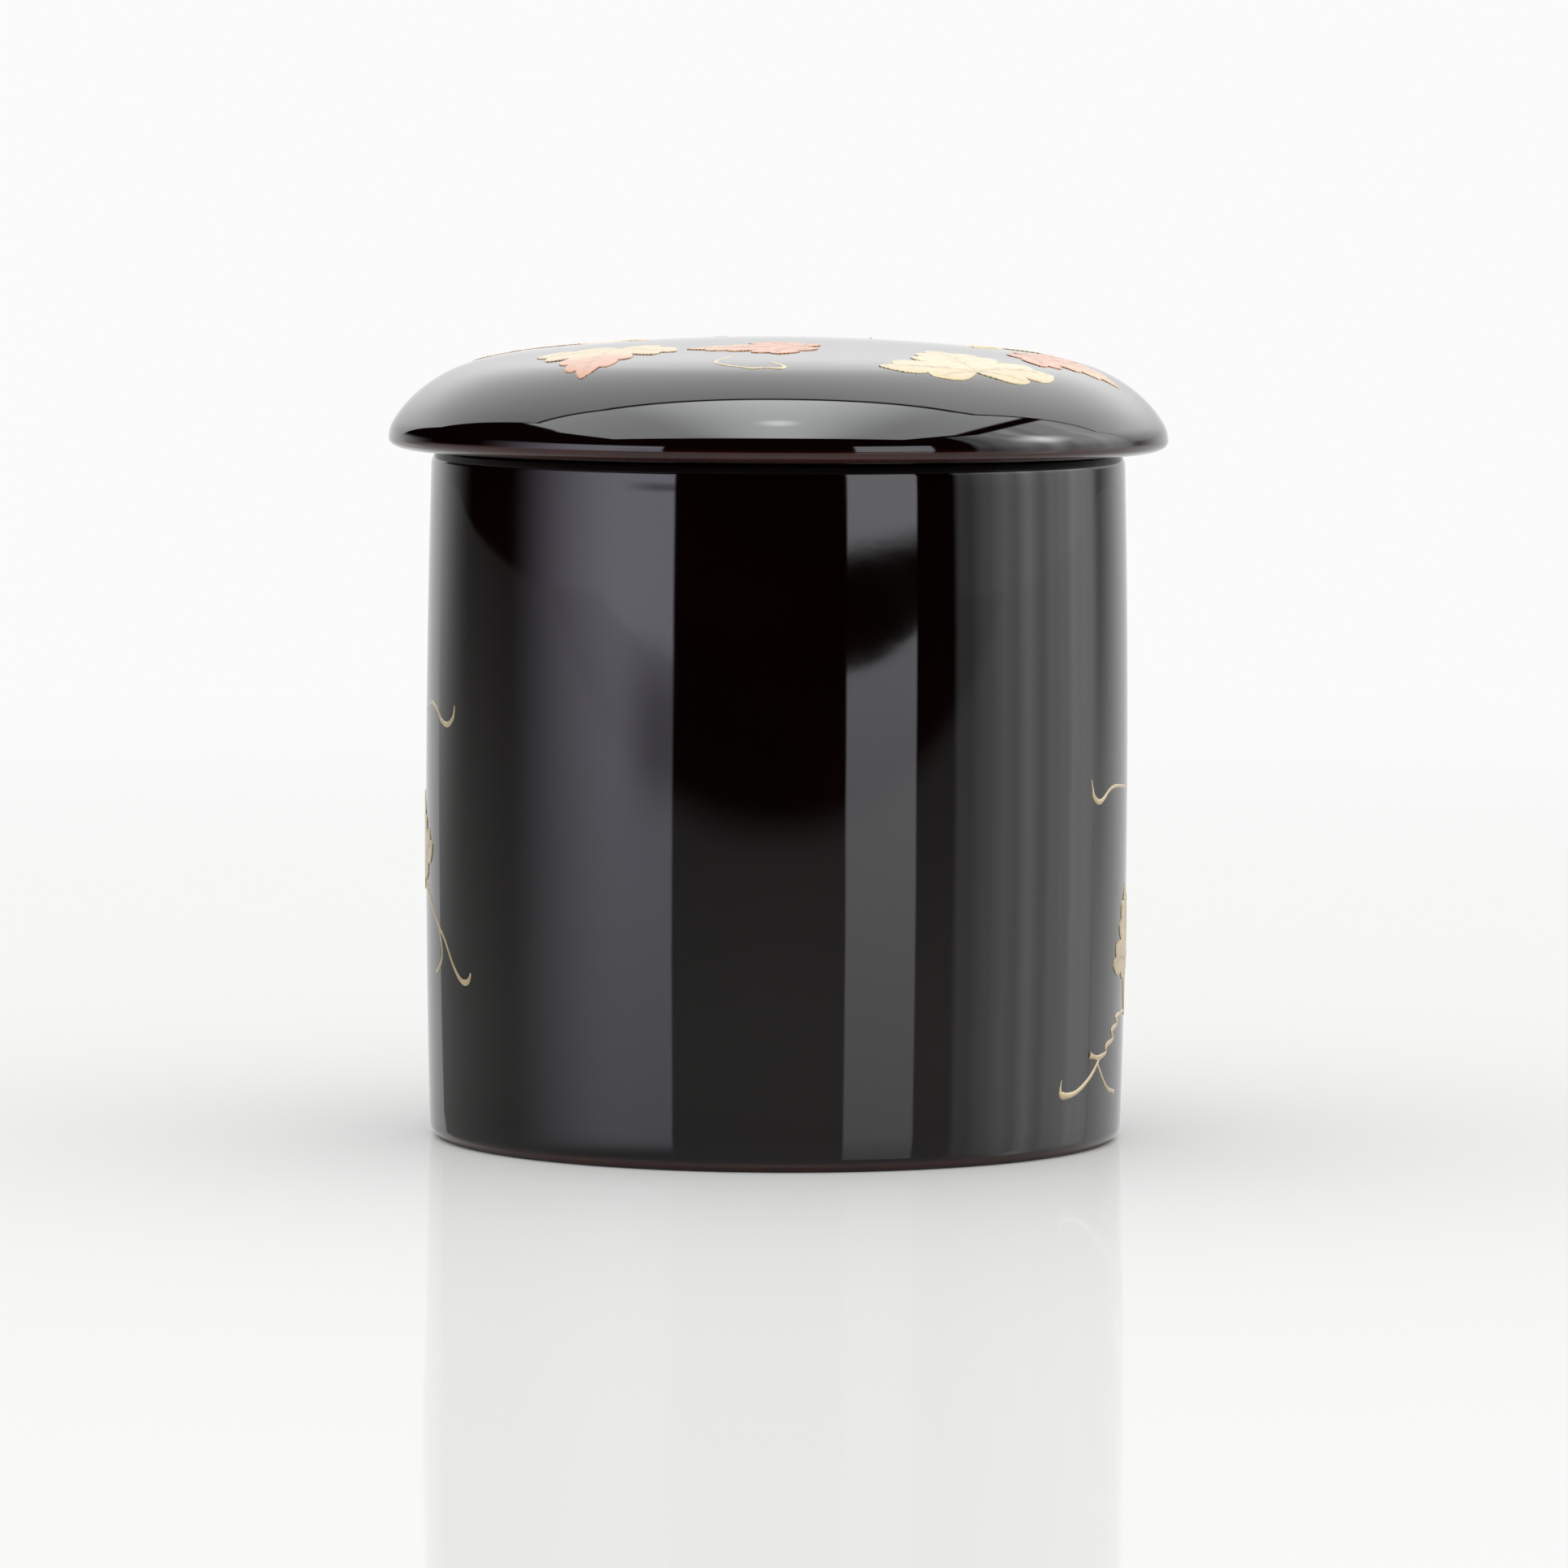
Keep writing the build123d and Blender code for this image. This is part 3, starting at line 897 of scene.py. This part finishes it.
# The studio, as polished lacquer sees it: turns from the front towards the right and rises above the
# table, in degrees. A board is: turn from, to, softness of each side; rise from, to, softness; strength;
# tint. The dark stand has no strength or tint of its own.
LEFT_BOARD = ((-75, -34, 25, 0.6), (-9, 13, 2.0), 2.75, (0.98, 0.95, 1.12))
DARK_STAND, STAND_SHADE = ((-47, -30, 8, 1), (2.1, 4.2, 0.8)), 0.5
RIGHT_STRIP = ((22.5, 46.2, 0.5, 0.5), (-0.4, 18, 0.25), 2.8, (0.98, 0.99, 1.04))
RIGHT_SCREEN = ((60.5, 127, 1.5, 7), (-9, 48, 2.0), 1.0, (0.99, 1.0, 1.02))
# The screen's level grows between two turns or two rises: from, to; gain; level it is added to
SCREEN_ROUND = ((60, 88), 0.8, 0.65)
SCREEN_UP = ((0, 18), 0.9, 1)
SCREEN_STREAKS, STREAK_DETAIL, STREAK_GAIN, STREAK_BASE = 0.085, 1.2, 1.5, 0.3
SCREEN_EDGE = (0.925, 0.955)
# A lamp is: direction, size, strength
SCREEN_LAMP = ((0.902, 0.0, 0.432), 0.24, 7.0)
CEILING_LAMP = ((0.0, -0.30, 1.0), 0.10, 5.0)
BACK_WALL_TURN = (120, 155)           # turns at which the white back wall starts low down, and is full
BACK_WALL_LOW, BACK_WALL_HIGHER, BACK_WALL_TOP, BACK_WALL_RIGHT = 0.98, 0.95, 0.7, 0.6
BACK_WALL_RISE, BACK_WALL_TOP_RISE, BACK_WALL_SIDE = (3, 24), (30, 75), (-0.1, 0.5)
BACK_WALL_TINT, CEILING_TINT = (1, 1, 1.01), (0.98, 1.0, 1.0)
CEILING_LEVEL, CEILING_CENTRE, CEILING_CENTRE_REACH = 3.7, 3.9, 0.5
# Shares of its height at which the ceiling light's edges lie, across and along from the bowl
CEILING_LEFT, CEILING_LEFT_FLARE, CEILING_RIGHT, CEILING_FRONT = -1.03, 0.28, 0.84, -0.93
CEILING_SIDE_SOFT, CEILING_FRONT_SOFT = 0.04, 0.06
# The seam, where the ceiling ends and the back wall starts, runs back to both sides: start and slope
SEAM, SEAM_RIGHT, SEAM_LEFT = 0.22, (0.6, 0.8), (0.95, 1.7)
# Distances past the seam between which each of them comes up to full
SEAM_TO_WALL, SEAM_TO_SCREEN, SEAM_TO_CEILING = (0.0, 0.02), (0.0, -0.03), (-0.015, -0.03)
HIGH_UP = (0.03, 0.12)                # height of a direction at which the seam starts to count
LEAST_HEIGHT = 0.01


def window(n, value, low, high, soft_low, soft_high):
    """1 between low and high, 0 outside, each side that soft."""
    rise = n.ramp(value, low - soft_low, low + soft_low)
    return n.times(rise, n.ramp(value, high + soft_high, high - soft_high))


def board(n, turn, rise, sides, ends):
    """The share of a direction that falls on an upright board."""
    low, high, soft = ends
    return n.times(window(n, turn, *sides), window(n, rise, low, high, soft, soft))


def blend(n, share, first, second):
    """first where share is 0, second where it is 1."""
    return n.math("ADD", first, n.times(share, n.math("SUBTRACT", second, first)))


def lamp(n, direction, towards, size, strength):
    """The light of a round soft lamp in a direction."""
    apart = n.add("ShaderNodeVectorMath", operation="DISTANCE")
    n.join(direction, apart.inputs[0])
    apart.inputs[1].default_value = Vector(towards).normalized()
    return n.times(n.ramp(apart.outputs["Value"], size, 0), strength)


class Look:
    """Where a mirrored ray goes: its turn and rise in degrees, and where it meets a level ceiling."""

    def __init__(self, n, direction):
        parts = n.add("ShaderNodeSeparateXYZ")
        n.join(direction, parts.inputs[0])
        self.direction = direction
        self.x, y, z = parts.outputs
        self.turn = n.times(n.math("ARCTAN2", self.x, n.times(y, -1)), degrees(1))
        self.rise = n.times(n.math("ARCSINE", z), degrees(1))
        height = n.math("MAXIMUM", z, LEAST_HEIGHT)
        self.across = n.math("DIVIDE", self.x, height)
        self.along = n.math("DIVIDE", y, height)
        self.high = n.ramp(z, *HIGH_UP)
        self.past_seam = n.math("SUBTRACT", self.along, self.seam(n))

    def seam(self, n):
        """How far along the ceiling ends, at this ray's place across."""
        to_right = n.math("MAXIMUM", n.math("SUBTRACT", self.across, SEAM_RIGHT[0]), 0)
        to_left = n.math("MAXIMUM", n.math("SUBTRACT", n.times(self.across, -1), SEAM_LEFT[0]), 0)
        sides = n.math("ADD", n.times(to_right, SEAM_RIGHT[1]), n.times(to_left, SEAM_LEFT[1]))
        return n.math("ADD", sides, SEAM)


def left_board(n, look):
    """A lilac-white board at the left, darker where a stand is before it."""
    sides, ends, strength, tint = LEFT_BOARD
    stand = board(n, look.turn, n.math("ABSOLUTE", look.rise), *DARK_STAND)
    clear = n.math("SUBTRACT", 1, n.times(stand, STAND_SHADE))
    return n.lit(n.times(board(n, look.turn, look.rise, sides, ends), clear), strength, tint)


def right_strip(n, look):
    """A narrow white board at the right."""
    sides, ends, strength, tint = RIGHT_STRIP
    return n.lit(board(n, look.turn, look.rise, sides, ends), strength, tint)


def right_screen(n, look):
    """A broad, streaked screen further to the right, with a soft lamp in it."""
    sides, ends, strength, tint = RIGHT_SCREEN
    streaks = n.add("ShaderNodeTexNoise", noise_dimensions="1D")
    streaks.inputs["Scale"].default_value = SCREEN_STREAKS
    streaks.inputs["Detail"].default_value = STREAK_DETAIL
    n.join(look.turn, streaks.inputs["W"])
    level = n.scaled(streaks.outputs[0], STREAK_GAIN, STREAK_BASE)
    for value, (between, gain, base) in ((look.turn, SCREEN_ROUND), (look.rise, SCREEN_UP)):
        level = n.times(level, n.scaled(n.ramp(value, *between), gain, base))
    level = n.math("ADD", level, lamp(n, look.direction, *SCREEN_LAMP))
    screen = n.times(board(n, look.turn, look.rise, sides, ends), n.ramp(look.across, *SCREEN_EDGE))
    screen = n.times(screen, blend(n, look.high, 1, n.ramp(look.past_seam, *SEAM_TO_SCREEN)))
    return n.lit(n.times(screen, level), strength, tint)


def back_wall(n, look):
    """A white wall behind, past the ceiling's seam, that grows brighter upwards and to the right."""
    level = n.scaled(n.ramp(look.x, *BACK_WALL_SIDE), BACK_WALL_RIGHT, BACK_WALL_HIGHER)
    level = n.times(level, n.ramp(look.rise, *BACK_WALL_RISE))
    level = n.math("ADD", level, n.times(n.ramp(look.rise, *BACK_WALL_TOP_RISE), BACK_WALL_TOP))
    level = n.math("ADD", level, BACK_WALL_LOW)
    low_down = n.ramp(n.math("ABSOLUTE", look.turn), *BACK_WALL_TURN)
    wall = blend(n, look.high, low_down, n.ramp(look.past_seam, *SEAM_TO_WALL))
    return n.lit(n.times(wall, level), 1.0, BACK_WALL_TINT)


def ceiling_light(n, look):
    """A wide bright ceiling light, brighter in the middle, that ends at the seam."""
    flare = n.times(n.math("MINIMUM", look.along, 0), CEILING_LEFT_FLARE)
    from_left = n.math("SUBTRACT", look.across, n.math("ADD", flare, CEILING_LEFT))
    right_side = n.ramp(look.across, CEILING_RIGHT, CEILING_RIGHT - CEILING_SIDE_SOFT)
    ceiling = n.times(n.ramp(from_left, 0.0, CEILING_SIDE_SOFT), right_side)
    ceiling = n.times(ceiling, n.ramp(look.along, CEILING_FRONT, CEILING_FRONT + CEILING_FRONT_SOFT))
    ceiling = n.times(ceiling, n.times(n.ramp(look.past_seam, *SEAM_TO_CEILING), look.high))
    middle = n.ramp(n.math("ABSOLUTE", look.across), CEILING_CENTRE_REACH, 0.0)
    level = n.scaled(middle, CEILING_CENTRE, CEILING_LEVEL)
    level = n.math("ADD", level, lamp(n, look.direction, *CEILING_LAMP))
    return n.lit(n.times(ceiling, level), 1.0, CEILING_TINT)


def studio_reflection(n, direction):
    """What polished lacquer and metal mirror: boards at the sides, a white back wall, a ceiling light."""
    look = Look(n, direction)
    total = left_board(n, look)
    for part in (right_strip, right_screen, back_wall, ceiling_light):
        total = n.plus(total, part(n, look))
    return total


def camera_rays(n):
    """1 for rays that come straight from the camera."""
    return n.add("ShaderNodeLightPath").outputs["Is Camera Ray"]


def mirror_rays(n):
    """1 for rays that come from a mirror or through glass."""
    rays = n.add("ShaderNodeLightPath")
    return n.math("MAXIMUM", rays.outputs["Is Glossy Ray"], rays.outputs["Is Transmission Ray"])


def table_material():
    """Pale and glossy; the camera sees it run into the white, and where the lacquer mirrors it, it is
    painted darker and unlit in front: painted shade.
    """
    n = Nodes("pale glossy table")
    place = n.add("ShaderNodeTexCoord").outputs["Object"]
    parts = n.add("ShaderNodeSeparateXYZ")
    n.join(place, parts.inputs[0])
    # Painted shade: mirror rays see the table darker than the camera does, and unlit in front
    near = n.ramp(parts.outputs["Y"], *TABLE_DARK)
    n.join(n.mix(near, TABLE_UNLIT, TABLE_SHADED), n.shader.inputs["Base Color"])
    n.shader.inputs["Roughness"].default_value = TABLE_ROUGHNESS
    n.shader.inputs["IOR"].default_value = TABLE_IOR

    matt = n.add("ShaderNodeBsdfDiffuse")
    matt.inputs["Color"].default_value = (*TABLE_COLOUR, 1)
    gloss = n.add("ShaderNodeBsdfGlossy")
    gloss.inputs["Roughness"].default_value = TABLE_ROUGHNESS
    behind = n.add("ShaderNodeEmission")
    behind.inputs["Color"].default_value = (WHITE, WHITE, WHITE, 1)
    out = n.add("ShaderNodeVectorMath", operation="LENGTH")
    n.join(place, out.inputs[0])
    pale = n.mix_shaders(TABLE_GLOSS, matt, gloss)
    fading = n.mix_shaders(n.ramp(out.outputs["Value"], *TABLE_FADE), pale, behind)
    seen = n.mix_shaders(camera_rays(n), n.shader, fading)
    n.join(seen.outputs[0], n.tree.nodes["Material Output"].inputs["Surface"])
    return n.material


def set_table():
    clear_selection()
    bpy.ops.mesh.primitive_plane_add(size=1)
    table = bpy.context.object
    table.name = "table"
    for vertex in table.data.vertices:
        vertex.co.x *= TABLE_WIDTH
        vertex.co.y = TABLE_BACK if vertex.co.y > 0 else TABLE_FRONT
    table.data.materials.append(table_material())


def light_studio():
    """White all round, and the studio where a mirror looks."""
    world = bpy.data.worlds.new("studio")
    world.use_nodes = True
    n = Nodes.of_world(world)
    direction = n.add("ShaderNodeTexCoord").outputs["Generated"]
    room = n.mix(mirror_rays(n), (ROOM_LEVEL,) * 3, studio_reflection(n, direction))
    seen = n.mix(camera_rays(n), room, (WHITE,) * 3)
    n.join(seen, world.node_tree.nodes["Background"].inputs["Color"])
    bpy.context.scene.world = world


def set_camera():
    camera_data = bpy.data.cameras.new("camera")
    camera_data.lens = CAMERA_LENS
    camera_data.sensor_width = CAMERA_SENSOR
    camera_data.clip_start = CAMERA_CLIP
    camera = bpy.data.objects.new("camera", camera_data)
    bpy.context.collection.objects.link(camera)
    camera.location = CAMERA_PLACE
    tilt = Matrix.Rotation(radians(90 - CAMERA_PITCH), 3, "X")
    camera.rotation_euler = (tilt @ Matrix.Rotation(radians(CAMERA_ROLL), 3, "Z")).to_euler()
    bpy.context.scene.camera = camera


class BOWL_OT_set_stage(bpy.types.Operator):
    """Set the glossy pale table, the studio light and the camera"""

    bl_idname = "lacquer_bowl.set_stage"
    bl_label = "Set the stage"

    def execute(self, context):
        set_table()
        light_studio()
        set_camera()
        context.scene.view_settings.view_transform = "Standard"
        return {"FINISHED"}


class BOWL_PT_panel(bpy.types.Panel):
    """Sizes, colours and steps of the lacquer bowl"""

    bl_label = "Lacquer bowl"
    bl_idname = "BOWL_PT_panel"
    bl_space_type = "VIEW_3D"
    bl_region_type = "UI"
    bl_category = "Lacquer bowl"

    def draw(self, context):
        for group in (context.scene.bowl_turning, context.scene.bowl_leaves):
            for name in group.__annotations__:
                self.layout.prop(group, name)
        for operator in OPERATORS:
            self.layout.operator(operator.bl_idname)


OPERATORS = (
    BOWL_OT_turn_bowl,
    BOWL_OT_turn_lid,
    BOWL_OT_lay_leaves,
    BOWL_OT_draw_tendrils,
    BOWL_OT_set_stage,
)
CLASSES = (TurningSizes, LeafSizes, *OPERATORS, BOWL_PT_panel)


def register():
    for cls in CLASSES:
        bpy.utils.register_class(cls)
    bpy.types.Scene.bowl_turning = bpy.props.PointerProperty(type=TurningSizes)
    bpy.types.Scene.bowl_leaves = bpy.props.PointerProperty(type=LeafSizes)


def unregister():
    del bpy.types.Scene.bowl_leaves
    del bpy.types.Scene.bowl_turning
    for cls in reversed(CLASSES):
        bpy.utils.unregister_class(cls)


def main():
    register()
    bpy.ops.lacquer_bowl.turn_bowl()
    bpy.ops.lacquer_bowl.turn_lid()
    bpy.ops.lacquer_bowl.lay_leaves()
    bpy.ops.lacquer_bowl.draw_tendrils()
    bpy.ops.lacquer_bowl.set_stage()


if __name__ == "__main__":
    main()
